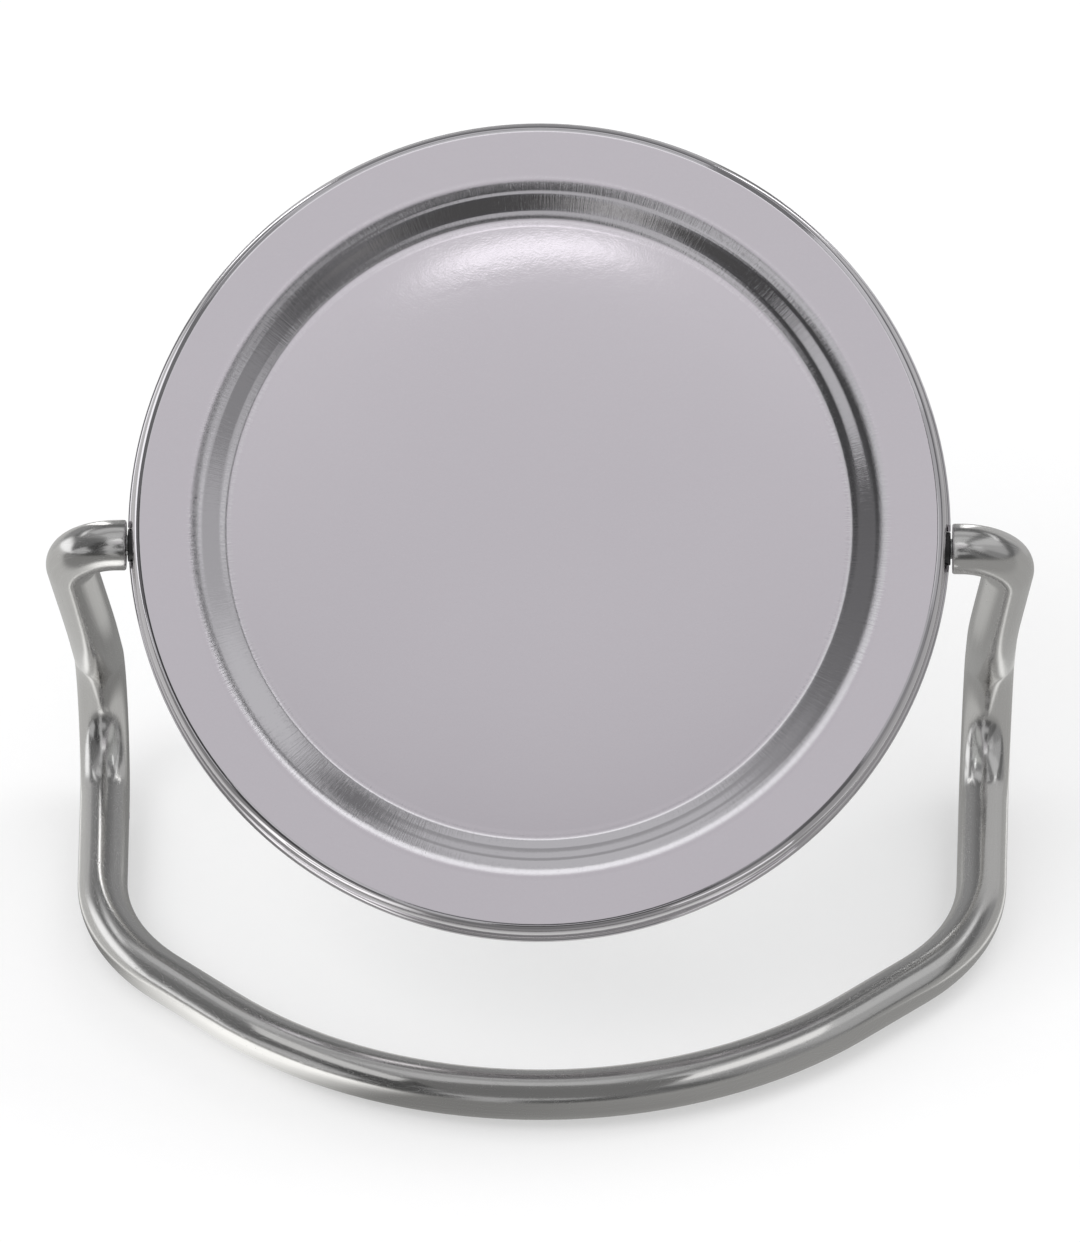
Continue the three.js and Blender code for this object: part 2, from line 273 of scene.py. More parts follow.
def step_line():
    """The step from its outer edge inwards, as its slopes make it."""
    count = 48
    width = (STEP_OUTER - STEP_INNER) / count
    height = FACE_HEIGHT
    line = [(STEP_OUTER, height)]
    for i in range(count):
        radius = STEP_OUTER - width * i
        height -= width * math.tan(math.radians(slope_at(radius - width / 2)))
        line.append((radius - width, height))
    return line[::-1]


def face_line():
    step = step_line()
    floor = step[0][1]
    shares = (0, 0.05, 0.15, 0.28, 0.4, 0.5, 0.6, 0.68, 0.76, 0.82, 0.87, 0.91, 0.94, 0.965, 0.985, 0.996)
    middle = [(STEP_INNER * share, floor + CROWN * (1 - share ** 4)) for share in shares]
    border = (STEP_OUTER + 0.2, STEP_OUTER + 0.8, 71, 73.5, 76, 77.4, FACE_RADIUS - 0.6, FACE_RADIUS - 0.15)
    return middle + step + [(radius, FACE_HEIGHT) for radius in border]


def round_lip(side):
    """The rolled lip at the seam, from the wall outwards, on the front (+1) or the rear (-1) shell."""
    return [(WALL_RADIUS, side * 1.9), (WALL_RADIUS + 0.08, side * 1.5), (WALL_RADIUS + 0.3, side * 1.22),
            (LIP_RADIUS - 0.25, side * LIP_HEIGHT), (LIP_RADIUS - 0.08, side * 1.0),
            (LIP_RADIUS, side * 0.8), (LIP_RADIUS, side * 0.35), (LIP_RADIUS - 0.1, side * 0.2),
            (LIP_RADIUS - 0.3, side * SEAM)]


shoulder_size = (SHOULDER_RADIUS - FACE_RADIUS, FACE_HEIGHT - SHOULDER_HEIGHT)
outside = face_line()
FLOOR_HEIGHT = step_line()[0][1]
outside += arc((FACE_RADIUS, SHOULDER_HEIGHT), shoulder_size, 90, 0, 18)
outside += [(SHOULDER_RADIUS + 0.02, 6), (SHOULDER_RADIUS + 0.1, 4.5)] + round_lip(1)
inside = [(WALL_RADIUS - SHEET, SEAM), (WALL_RADIUS - SHEET, 4.5)]
inside += arc((FACE_RADIUS - 0.1, SHOULDER_HEIGHT), (1.5, 1.8), 0, 90, 8)
inside += [(STEP_OUTER + 0.3, FACE_HEIGHT - SHEET), (67, FACE_HEIGHT - SHEET - 0.3),
           (63.8, FLOOR_HEIGHT - SHEET + 0.55), (STEP_INNER, FLOOR_HEIGHT - SHEET),
           (STEP_INNER / 2, FLOOR_HEIGHT - SHEET + CROWN * 0.9), (0, FLOOR_HEIGHT - SHEET + CROWN)]
print("front shell outline:", len(outside) + len(inside), "points, recessed by",
      round(FACE_HEIGHT - FLOOR_HEIGHT, 2), "mm")

# %% [markdown]
# The outline is spun, laid in the head, and drilled at both ends of the tilt axis. The drill is a
# cylinder along X with a fine round, because its edge shows beside the bushing.

# %% Spin and drill the shells
HOLE_RADIUS = 3.6 * MM
DRILL_SIDES = 64
DRILL_LENGTH = 30 * MM
DRILL_MIDDLE = 75 * MM


def drill():
    for side in (-1, 1):
        clear_selection()
        middle = AXIS + Vector((side * DRILL_MIDDLE, 0, 0))
        bpy.ops.mesh.primitive_cylinder_add(vertices=DRILL_SIDES, radius=HOLE_RADIUS, depth=DRILL_LENGTH,
                                            location=middle, rotation=(0, math.radians(90), 0))
        yield bpy.context.object


front_shell = hang(turned(outside + inside, ROUND_STEPS, closed=False))
settle(front_shell, "front_cover")
for bit in drill():
    carve(front_shell, bit)
settle(front_shell, "front_cover")

# %% [markdown]
# ## The rear shell
# The back is a deeper pressed ring with a window for the glass. Its edge is rolled over, so that it
# holds the glass and isn't sharp to the fingers.

# %% Rear shell
WINDOW_RADIUS = 72.6
BACK_HEIGHT = -9.4
BACK_RADIUS = 78.2
EDGE_ROLL = 0.42
back = arc((WINDOW_RADIUS + EDGE_ROLL, BACK_HEIGHT + EDGE_ROLL), (EDGE_ROLL, EDGE_ROLL), 180, 270, 8)
back += [(WINDOW_RADIUS + 1, BACK_HEIGHT), (75, BACK_HEIGHT), (77.5, BACK_HEIGHT)]
back_corner = (SHOULDER_RADIUS - BACK_RADIUS, BACK_HEIGHT + SHOULDER_HEIGHT)
back += arc((BACK_RADIUS, -SHOULDER_HEIGHT), back_corner, 90, 0, 18)
back += [(SHOULDER_RADIUS + 0.02, -6), (SHOULDER_RADIUS + 0.1, -4.5)] + round_lip(-1)
back += [(WALL_RADIUS - SHEET, -SEAM), (WALL_RADIUS - SHEET, -4.5)]
back += [(SHOULDER_RADIUS - SHEET, -SHOULDER_HEIGHT), (BACK_RADIUS + 0.9, -7.8)]
back += [(BACK_RADIUS, BACK_HEIGHT + SHEET), (WINDOW_RADIUS + 0.4, BACK_HEIGHT + SHEET)]
back += [(WINDOW_RADIUS + 0.1, BACK_HEIGHT + 0.65)]
rear_shell = hang(turned(back, ROUND_STEPS))
settle(rear_shell, "rear_cover")
for bit in drill():
    carve(rear_shell, bit)
settle(rear_shell, "rear_cover")

# %% [markdown]
# ## The looking glass and its gasket
# The glass is a ground disc with a narrow polished bevel all round its front edge. A thin black gasket
# lies between it and the rolled edge, and shows as a dark line round the glass.

# %% Glass and gasket
GLASS_RADIUS = 76.2
GLASS_TOP = -4.7
GLASS_FRONT = -7.5
glass_outline = [(radius, GLASS_FRONT) for radius in (0, 20, 45, 65, 74.7)]
glass_outline += [(75.0, GLASS_FRONT + 0.02), (75.9, GLASS_FRONT + 0.5), (76.15, GLASS_FRONT + 0.7),
                  (GLASS_RADIUS, GLASS_FRONT + 0.9), (GLASS_RADIUS, GLASS_TOP - 0.3),
                  (GLASS_RADIUS - 0.3, GLASS_TOP), (50, GLASS_TOP), (0, GLASS_TOP)]
glass = hang(turned(glass_outline, ROUND_STEPS, closed=False))
settle(glass, "looking_glass", 30)

GASKET_HEIGHT = -8.05
GASKET_ROUND = (0.2, 0.25)
gasket_outline = arc((73.1, GASKET_HEIGHT), GASKET_ROUND, 90, 270, 6)
gasket_outline += arc((77.4, GASKET_HEIGHT), GASKET_ROUND, -90, 90, 6)
gasket = hang(turned(gasket_outline, ROUND_STEPS))
settle(gasket, "glass_seal")

# %% [markdown]
# ## Bushings
# The head turns on two nylon bushings. Each is a sleeve through the rim, with a thin flange inside the
# head that keeps it from being pulled out. Its visible end is rounded by the mould. One is turned, and
# a copy of it is laid along X at each end of the tilt axis.

# %% Bushings
BORE = 2.2
bushing_outline = [(BORE, 74.3), (4.4, 74.3), (4.6, 74.45), (4.6, 74.65), (4.4, 74.8), (3.3, 74.8)]
bushing_outline += arc((3.0, 81.0), (0.3, 0.3), 0, 90, 5) + [(BORE + 0.2, 81.3), (BORE, 81.1)]
BUSHING_STEPS = 64
pattern = turned(bushing_outline, BUSHING_STEPS)
bushings = []
for side, word in ((-1, "left"), (1, "right")):
    bushing = hang(copied(pattern), along_x=side)
    bushings.append((settle(bushing, "bushing_" + word), word))
bpy.data.objects.remove(pattern)

# %% [markdown]
# ## The bent bar
# The stand is one round bar, bent cold in nine places: elbow, knee, heel and corner on each side, and
# the wide bow at the front. It is made here the same way. A ring is fed straight for each straight
# stretch and swung round each bend's centre, so every bend keeps its true radius.

# %% Corners of the bar's centre line
BAR_END_X = 81.6
HALF_LINE = [  # place from the tilt axis, and bend radius
    ((BAR_END_X, 0, 0), 0),
    ((93.9, 0, 0), 9.6),
    ((89.9, 19.3, -34.6), 80),
    ((88.9, 63.7, -84), 17),
    ((87.6, -18.5, -84), 43.7),
]
NOSE = ((0, -103, -84), 89.3)


def bar_corners():
    half = [(AXIS + Vector(place) * MM, bend * MM) for place, bend in HALF_LINE]
    other = [(Vector((-place.x, place.y, place.z)), bend) for place, bend in reversed(half)]
    return half + [(AXIS + Vector(NOSE[0]) * MM, NOSE[1] * MM)] + other


def bar_moves(corners):
    """The feeds and bends that turn a straight bar into the stand."""
    moves = []
    here = corners[0][0]
    for (before, _), (at, bend), (after, _) in zip(corners, corners[1:], corners[2:]):
        incoming = (at - before).normalized()
        outgoing = (after - at).normalized()
        turn = incoming.angle(outgoing)
        start = at - incoming * bend * math.tan(turn / 2)
        inward = (outgoing - incoming * incoming.dot(outgoing)).normalized()
        end = at + outgoing * bend * math.tan(turn / 2)
        moves.append({"feed": start - here, "at": here})
        moves.append({"turn": turn, "centre": start + inward * bend, "axis": inward.cross(incoming),
                      "at": start, "end": end, "incoming": incoming, "inward": inward, "bend": bend})
        here = end
    moves.append({"feed": corners[-1][0] - here, "at": here})
    return moves


moves = bar_moves(bar_corners())
print("bends:", [round(math.degrees(m["turn"]), 1) for m in moves if "turn" in m])

# %% [markdown]
# The bar starts as a ring at its right end. An extrude makes each straight stretch, and a spin makes each
# bend. At every corner the middle of the ring is compared with where the line says that it should be.

# %% Feed and bend the bar
BAR_SIDES = 56
BEND_STEP = math.radians(2.5)
FEED_STEP = 12 * MM


def feed(step):
    lengths = max(1, round(step.length / FEED_STEP))
    for _ in range(lengths):
        bpy.ops.mesh.extrude_region_move(TRANSFORM_OT_translate={"value": step / lengths})


clear_selection()
bpy.ops.mesh.primitive_circle_add(vertices=BAR_SIDES, radius=BAR_RADIUS, location=moves[0]["at"],
                                  rotation=(0, math.radians(90), 0))
bar = bpy.context.object
bpy.ops.object.transform_apply(location=True, rotation=True, scale=True)
edit(bar)
bpy.ops.mesh.select_all(action="SELECT")
off_course = 0
for move in moves:
    if "feed" in move:
        feed(move["feed"])
        wanted = move["at"] + move["feed"]
    else:
        bpy.ops.mesh.spin(steps=max(4, round(move["turn"] / BEND_STEP)), angle=move["turn"],
                          center=move["centre"], axis=move["axis"])
        wanted = move["end"]
    off_course = max(off_course, (selected_centre() - wanted).length)
print("bar is off its line by at most", round(off_course / MM, 4), "mm")

# %% [markdown]
# Both ends are closed with a face, chamfered like a sawn and deburred end, and bored for the studs
# that carry the head: the end face is inset to the bore, and the bore is pushed in.

# %% Finish the bar's ends
END_CHAMFER = 0.45 * MM
STUD_BORE = 2.3 * MM
BORE_DEPTH = 7.9 * MM
NEAR = 0.01 * MM

bpy.ops.mesh.select_all(action="SELECT")
bpy.ops.mesh.remove_doubles(threshold=TINY)
for side in (-1, 1):
    end_x = side * BAR_END_X * MM
    pick("edges", lambda e: e.is_boundary and all(abs(v.co.x - end_x) < NEAR for v in e.verts))
    bpy.ops.mesh.edge_face_add()
    pick("edges", lambda e: len(e.link_faces) == 2 and max(len(f.verts) for f in e.link_faces) == BAR_SIDES
         and all(abs(v.co.x - end_x) < NEAR for v in e.verts))
    bpy.ops.mesh.bevel(offset=END_CHAMFER, segments=3, affect="EDGES")
    found = pick("faces", lambda f: len(f.verts) == BAR_SIDES
                 and abs(f.calc_center_median().x - end_x) < NEAR)
    bpy.ops.mesh.inset(thickness=BAR_RADIUS - END_CHAMFER - STUD_BORE)
    bpy.ops.mesh.extrude_region_move(TRANSFORM_OT_translate={"value": (side * BORE_DEPTH, 0, 0)})
    print("end faces found:", found)
bpy.ops.mesh.select_all(action="SELECT")
bpy.ops.mesh.normals_make_consistent(inside=False)
settle(bar, "bent_bar", 40)

# %% [markdown]
# Brushing leaves lines that run along the bar and round its bends. A pattern in space would cut across
# them, so each point also keeps its place on the bar as it was before bending: how far along it is, and
# where on the round. The lines are later drawn on that straight bar.

# %% Remember the straight bar
LINE_STEP = 0.5 * MM


def centre_line():
    """Points on the bar's centre line with their distance from the end and their direction."""
    stations = []
    travelled = 0
    for move in moves:
        if "feed" in move:
            length = move["feed"].length
            count = max(1, math.ceil(length / LINE_STEP))
            direction = move["feed"].normalized()
            for i in range(count):
                share = i / count
                stations.append((move["at"] + move["feed"] * share, travelled + length * share, direction))
        else:
            length = move["turn"] * move["bend"]
            count = max(1, math.ceil(length / LINE_STEP))
            for i in range(count):
                angle = move["turn"] * i / count
                direction = move["incoming"] * math.cos(angle) + move["inward"] * math.sin(angle)
                place = (move["centre"] - move["inward"] * move["bend"] * math.cos(angle)
                         + move["incoming"] * move["bend"] * math.sin(angle))
                stations.append((place, travelled + move["bend"] * angle, direction))
        travelled += length
    stations.append((moves[-1]["at"] + moves[-1]["feed"], travelled, moves[-1]["feed"].normalized()))
    return stations


def carried_sides(stations):
    """A direction across the bar at each station, carried along without twisting."""
    across = Vector((0, 0, 1))
    sides = []
    for _, _, direction in stations:
        across = (across - direction * across.dot(direction)).normalized()
        sides.append(across.copy())
    return sides


stations = centre_line()
sides = carried_sides(stations)
tree = KDTree(len(stations))
for index, (place, _, _) in enumerate(stations):
    tree.insert(place, index)
tree.balance()
straight = bar.data.attributes.new("straight_bar", "FLOAT_VECTOR", "POINT")
for index, vertex in enumerate(bar.data.vertices):
    _, nearest, _ = tree.find(vertex.co)
    place, travelled, direction = stations[nearest]
    offset = vertex.co - place
    across = sides[nearest]
    straight.data[index].vector = (travelled + offset.dot(direction), offset.dot(across),
                                   offset.dot(direction.cross(across)))
print("length of bar:", round(stations[-1][1] / MM), "mm")

# %% [markdown]
# ## Feet
# Four clear silicone bumpers keep the steel off the shelf. Each is a short round pad with soft edges,
# hollowed on top to the bar's curve. It sits towards the inside of the bar, out of sight from the
# front. One is made, and each copy is turned to its stretch of the bar and put where its CAD node is.

# %% Feet
FOOT_RADIUS = 2.6 * MM
FOOT_INSET = 2.3 * MM
FOOT_TOP = 2.6 * MM
FOOT_SIDES = 48
FOOT_BEVEL = 0.4 * MM
SADDLE_GAP = 0.06 * MM
BAR_MIDDLE = 6.2 * MM


def one_foot():
    """A pad at the origin, for a bar that runs along Y on its right."""
    clear_selection()
    bpy.ops.mesh.primitive_cylinder_add(vertices=FOOT_SIDES, radius=FOOT_RADIUS, depth=FOOT_TOP,
                                        location=(0, 0, FOOT_TOP / 2))
    pad = bpy.context.object
    bpy.ops.object.transform_apply(location=True, rotation=True, scale=True)
    edit(pad)
    pick("edges", lambda e: max(len(f.verts) for f in e.link_faces) == FOOT_SIDES)
    bpy.ops.mesh.bevel(offset=FOOT_BEVEL, segments=5, affect="EDGES")
    bpy.ops.object.mode_set(mode="OBJECT")
    clear_selection()
    bpy.ops.mesh.primitive_cylinder_add(vertices=96, radius=BAR_RADIUS + SADDLE_GAP, depth=30 * MM,
                                        location=(FOOT_INSET, 0, BAR_MIDDLE),
                                        rotation=(math.radians(90), 0, 0))
    carve(pad, bpy.context.object)
    return pad


def way_to_bar(place, end):
    """The direction from a foot to the bar over it, as an angle about Z."""
    if end == "rear":
        return 0 if place.x > 0 else math.pi
    return math.asin(place.x / (NOSE[1] * MM - FOOT_INSET)) - math.radians(90)


pattern = one_foot()
feet = []
for end in ("rear", "front"):
    for word in ("left", "right"):
        node = "foot_" + end + "_" + word
        low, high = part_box(node)
        middle = (low + high) / 2
        foot = copied(pattern)
        foot.rotation_euler = (0, 0, way_to_bar(middle, end))
        foot.location = (middle.x, middle.y, 0)
        feet.append((settle(foot, node + "_pad", 40), node))
bpy.data.objects.remove(pattern)

# %% [markdown]
# ## Shader maths
# A finish is a sum of small effects, and sums read best as sums. This class wraps one output of a node,
# so that an expression such as `1 - mask * 0.4` adds the Math nodes that work it out. Any other node
# comes from `node`, which sets the node's settings first and then its inputs.

# %% Sockets that can be added and multiplied
class Wire:
    def __init__(self, finish, socket):
        self.finish = finish
        self.socket = socket

    def math(self, operation, *others):
        inputs = dict(enumerate((self,) + others))
        return self.finish.node("ShaderNodeMath", {"operation": operation}, inputs)

    def __add__(self, other):
        return self.math("ADD", other)

    def __mul__(self, other):
        return self.math("MULTIPLY", other)

    def __sub__(self, other):
        return self.math("SUBTRACT", other)

    def __truediv__(self, other):
        return self.math("DIVIDE", other)

    def __rsub__(self, other):
        return self.finish.node("ShaderNodeMath", {"operation": "SUBTRACT"}, {0: other, 1: self})

    __radd__ = __add__
    __rmul__ = __mul__

    def rise(self, low, high):
        """0 below low and 1 above high, with a soft step between them."""
        return self.finish.node("ShaderNodeMapRange", {"interpolation_type": "SMOOTHSTEP"},
                                {"Value": self, "From Min": low, "From Max": high})

    def between(self, low, high, blur):
        """1 from low to high, and 0 outside, with soft ends."""
        return self.rise(low - blur, low + blur) * (1 - self.rise(high - blur, high + blur))

    def scaled(self, factors):
        return self.finish.node("ShaderNodeVectorMath", {"operation": "MULTIPLY"}, {0: self, 1: factors})

    def parts(self):
        split = self.finish.tree.nodes.new("ShaderNodeSeparateXYZ")
        self.finish.tree.links.new(self.socket, split.inputs[0])
        return [Wire(self.finish, output) for output in split.outputs]


class Finish:
    """One material and the nodes in it."""

    def __init__(self, name):
        self.material = bpy.data.materials.new(name)
        self.material.use_nodes = True
        self.tree = self.material.node_tree
        self.tree.nodes.clear()
        self.output = self.tree.nodes.new("ShaderNodeOutputMaterial")

    def node(self, kind, settings=None, inputs=None, out=0):
        new = self.tree.nodes.new(kind)
        for key, value in (settings or {}).items():
            setattr(new, key, value)
        for key, value in (inputs or {}).items():
            if isinstance(value, Wire):
                self.tree.links.new(value.socket, new.inputs[key])
            else:
                new.inputs[key].default_value = value
        return Wire(self, new.outputs[out])

    def mix(self, factor, one, two):
        """one where factor is 0 and two where it is 1, for colours."""
        return self.node("ShaderNodeMix", {"data_type": "RGBA"}, {0: factor, 6: one, 7: two}, out=2)

    def space(self):
        return self.node("ShaderNodeTexCoord", out=3)

    def noise(self, where, scale, detail=2.0, rough=0.5):
        return self.node("ShaderNodeTexNoise", {}, {"Vector": where, "Scale": scale, "Detail": detail,
                                                    "Roughness": rough})

    def bump(self, height, strength, distance, under=None):
        inputs = {"Height": height, "Strength": strength, "Distance": distance}
        if under is not None:
            inputs["Normal"] = under
        return self.node("ShaderNodeBump", {}, inputs)

    def surface(self, inputs):
        shader = self.node("ShaderNodeBsdfPrincipled", {}, inputs)
        self.tree.links.new(shader.socket, self.output.inputs["Surface"])
        return self.material

    def glow(self, colour, strength=1.0):
        light = self.node("ShaderNodeEmission", {}, {"Color": colour, "Strength": strength})
        self.tree.links.new(light.socket, self.output.inputs["Surface"])
        self.material.cycles.emission_sampling = "NONE"
        return self.material


# %% [markdown]
# ## Pressed and polished steel
# The shells are bright pressed steel. A polished sheet is never quite flat: it has a faint orange peel
# from the rolling, a fine speckle, hair-thin wiping marks, and draw lines that run down the step where
# the die stretched it. They are small slopes and small changes of polish, never paint.

# %% Finish of the shells
def head_space(finish):
    """Object coordinates laid flat in the head: x to the right, y up the face, z out of it."""
    return finish.node("ShaderNodeMapping", {"vector_type": "TEXTURE"},
                       {"Vector": finish.space(), "Location": HEAD_CENTRE, "Rotation": (LEAN, 0, 0)})


def distance(x, y):
    return (x * x + y * y).math("SQRT")


def polished_steel():
    f = Finish("polished_steel")
    place = head_space(f)
    x, y, z = place.parts()
    radius = distance(x, y)
    turn = y.math("ARCTAN2", x)
    peel = f.noise(place, 420, 3)
    speckle = f.noise(place, 2600, 2, 0.7)
    smudge = f.noise(place, 22, 4, 0.6)
    radial = f.node("ShaderNodeCombineXYZ", {}, {0: turn * 60, 1: radius * 30, 2: z * 30})
    draw_lines = f.noise(radial, 3.2, 5, 0.7)
    step = radius.between((STEP_INNER - 0.8) * MM, (STEP_OUTER + 0.3) * MM, 0.6 * MM)
    wipe = f.noise(place.scaled((2400, 130, 600)), 1, 2)
    rough = 0.045 + smudge * 0.025 + speckle.rise(0.62, 0.8) * 0.05 + step * draw_lines * 0.05
    normal = f.bump(peel, 0.35, 0.012 * MM)
    normal = f.bump(speckle, 0.5, 0.005 * MM, normal)
    normal = f.bump(wipe, 0.25, 0.002 * MM, normal)
    normal = f.bump(draw_lines * step, 0.8, 0.03 * MM, normal)
    colour = f.mix(smudge * 0.5 + speckle * 0.4, (0.70, 0.68, 0.71, 1), (0.76, 0.74, 0.765, 1))
    return f.surface({"Base Color": colour, "Metallic": 1.0, "Roughness": rough, "Normal": normal})


# %% [markdown]
# ## Brushed bar steel
# The bar is softer to look at than the shells, because it was brushed along its length before bending.
# Fine and broad lines follow the bar, a few deeper scratches break them, and handling has left faint
# cloudy patches that are a little duller.

# %% Finish of the bar
def brushed_steel():
    f = Finish("brushed_steel")
    bar_place = f.node("ShaderNodeAttribute", {"attribute_name": "straight_bar"}, out=1)
    place = f.space()
    fine = f.noise(bar_place.scaled((60, 5200, 5200)), 1, 3, 0.6)
    broad = f.noise(bar_place.scaled((22, 1500, 1500)), 1, 3, 0.6)
    cloud = f.noise(place, 55, 4, 0.6)
    scratch = f.noise(bar_place.scaled((260, 900, 900)), 1, 1).between(0.497, 0.503, 0.002)
    rough = 0.11 + broad * 0.1 + cloud * 0.05 + scratch * 0.12
    normal = f.bump(broad, 0.5, 0.012 * MM)
    normal = f.bump(fine, 0.6, 0.005 * MM, normal)
    normal = f.bump(scratch, 0.3, -0.008 * MM, normal)
    colour = f.mix(broad * 0.6 + cloud * 0.4, (0.60, 0.59, 0.58, 1), (0.75, 0.745, 0.735, 1))
    return f.surface({"Base Color": colour, "Metallic": 1.0, "Roughness": rough, "Normal": normal})


# %% [markdown]
# ## Silvered glass
# The back of the glass is silvered and painted. The front reads as a clear mirror with faint smudges,
# a brighter line on the ground bevel, and the green of the glass only at its edge.

# %% Finish of the looking glass
def silvered_glass():
    f = Finish("silvered_glass")
    place = head_space(f)
    x, y, z = place.parts()
    radius = distance(x, y)
    edge = radius.rise((GLASS_RADIUS - 1.3) * MM, (GLASS_RADIUS - 0.9) * MM)
    painted = z.rise((GLASS_TOP - 0.15) * MM, (GLASS_TOP - 0.05) * MM)
    smudge = f.noise(place, 30, 5, 0.65)
    dust = f.noise(place, 900, 2, 0.6).rise(0.72, 0.8)
    silver = f.mix(smudge, (0.88, 0.9, 0.9, 1), (0.93, 0.945, 0.945, 1))
    tinted = f.mix(edge, silver, (0.66, 0.8, 0.74, 1))
    colour = f.mix(painted, tinted, (0.3, 0.31, 0.32, 1))
    rough = 0.012 + smudge * 0.03 + dust * 0.05 + edge * 0.06 + painted * 0.45
    normal = f.bump(smudge, 0.1, 0.01 * MM)
    return f.surface({"Base Color": colour, "Metallic": 1 - painted, "Roughness": rough, "Normal": normal,
                      "Coat Weight": 0.6, "Coat Roughness": 0.02})


# %% [markdown]
# ## Zinc-plated hardware
# Studs, nuts, washers, screws, blocks and the core plate are plain plated steel: grey, with a cloudy
# passivated sheen, cutting lines and small dark marks.

# %% Finish of the hardware
def zinc_steel():
    f = Finish("zinc_steel")
    place = f.space()
    cloud = f.noise(place, 130, 5, 0.6)
    grain = f.noise(place, 1500, 3, 0.6)
    lines = f.noise(place.scaled((5200, 240, 240)), 1, 2)
    marks = cloud.rise(0.6, 0.75)
    colour = f.mix(cloud, (0.42, 0.43, 0.45, 1), (0.62, 0.62, 0.6, 1))
    colour = f.mix(marks * 0.35, colour, (0.3, 0.29, 0.27, 1))
    rough = 0.32 + grain * 0.14 + marks * 0.1
    normal = f.bump(grain, 0.4, 0.02 * MM)
    normal = f.bump(lines, 0.3, 0.008 * MM, normal)
    return f.surface({"Base Color": colour, "Metallic": 1.0, "Roughness": rough, "Normal": normal})


# %% [markdown]
# ## Moulded plastics, rubber, foam and silicone
# The hidden pieces are moulded. What tells them apart is grain and sheen: nylon is waxy, the carrier
# has a coarse spark-eroded texture, rubber is dull, foam is full of open cells, and silicone is milky.

# %% Finishes of the moulded pieces
def moulded(name, dark, light, scale, rough, depth, more):
    f = Finish(name)
    place = f.space()
    grain = f.noise(place, scale, 4, 0.6)
    cloud = f.noise(place, 90, 3, 0.5)
    colour = f.mix(grain * 0.5 + cloud * 0.5, dark, light)
    inputs = {"Base Color": colour, "Roughness": rough + (grain - 0.5) * 0.16,
              "Normal": f.bump(grain, 0.6, depth)}
    inputs.update(more or {})
    return f.surface(inputs)


def foam():
    f = Finish("foam")
    cells = f.node("ShaderNodeTexVoronoi", {"feature": "F1"}, {"Vector": f.space(), "Scale": 900.0})
    cloud = f.noise(f.space(), 60, 4)
    colour = f.mix(cells.rise(0.1, 0.8), (0.05, 0.05, 0.052, 1), (0.17, 0.17, 0.175, 1))
    colour = f.mix(cloud * 0.4, colour, (0.11, 0.11, 0.11, 1))
    return f.surface({"Base Color": colour, "Roughness": 0.9 + cells * 0.08,
                      "Normal": f.bump(cells, 0.8, 0.4 * MM)})


CLEAR = {"Transmission Weight": 0.35, "Subsurface Weight": 0.2, "Subsurface Scale": 0.002, "IOR": 1.41}
MOULDED = [  # slot, dark, light, scale of the grain, roughness, depth of the grain, more
    ("carrier_plastic", (0.035, 0.036, 0.038, 1), (0.06, 0.06, 0.062, 1), 1100, 0.55, 0.04 * MM, None),
    ("nylon", (0.018, 0.018, 0.019, 1), (0.035, 0.035, 0.037, 1), 900, 0.42, 0.01 * MM, None),
    ("gasket_rubber", (0.01, 0.01, 0.01, 1), (0.022, 0.022, 0.023, 1), 1600, 0.7, 0.02 * MM, None),
    ("clear_silicone", (0.6, 0.62, 0.62, 1), (0.74, 0.75, 0.75, 1), 700, 0.36, 0.02 * MM, CLEAR),
]
finishes = {
    "polished_steel": polished_steel(),
    "brushed_steel": brushed_steel(),
    "silvered_glass": silvered_glass(),
    "zinc_steel": zinc_steel(),
    "foam": foam(),
}
for row in MOULDED:
    finishes[row[0]] = moulded(*row)
print("finishes:", sorted(finishes))

# %% [markdown]
# ## Putting finishes on, and joining the frame
# Each new piece gets its finish and is hung on its body, and the CAD node that it stands for is hidden.

# %% New pieces
def join(piece, body, slot, node):
    piece.data.materials.clear()
    piece.data.materials.append(finishes[slot])
    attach(piece, body)
    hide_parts(node)


join(bar, "stand", "brushed_steel", "stand_bar")
join(front_shell, "head", "polished_steel", "front_shell")
join(rear_shell, "head", "polished_steel", "rear_shell")
join(glass, "head", "silvered_glass", "mirror_glass")
join(gasket, "head", "gasket_rubber", "glass_gasket")
for bushing, word in bushings:
    join(bushing, "head", "nylon", "pivot_bushing_" + word)
for foot, node in feet:
    join(foot, "stand", "clear_silicone", node)
print("nodes replaced:", sum(node.hide_render for node in nodes.values()))

# %% [markdown]
# The pieces inside the head and at the pivots are plain turned and sawn parts, and the CAD solids have
# their true shapes. They stay, and get their finishes. All but two of them are plated steel.

# %% Nodes that stay
STAYING = {"carrier_ring": "carrier_plastic", "foam_core": "foam"}
for name, node in nodes.items():
    if node.hide_render:
        continue
    slot = STAYING.get(name, "zinc_steel")
    node.data.materials.clear()
    node.data.materials.append(finishes[slot])
print("nodes that stay:", sum(not node.hide_render for node in nodes.values()))

# %% [markdown]
# ## Floor and soft light
# The floor is a plain pale light table: it glows a little from below, as studios use for metal, and the
# light comes evenly from all round, so the only shadow is a faint one where the mirror meets the floor.
# Two large area lights give the light a gentle direction.

# %% Floor, world and area lights
FLOOR_SIZE = 24
ROOM_LIGHT = 0.86
LAMP_SIZE = 1.6
LAMPS = [((-1.6, -1.2, 2.4), 20), ((1.4, 1.5, 2.2), 12)]  # place and watts


def only_seen_in_metal(card):
    """A studio card that lights nothing and is seen only in the bright metal."""
    card.visible_camera = False
    card.visible_diffuse = False
    card.visible_transmission = False
    card.visible_volume_scatter = False
    card.visible_shadow = False


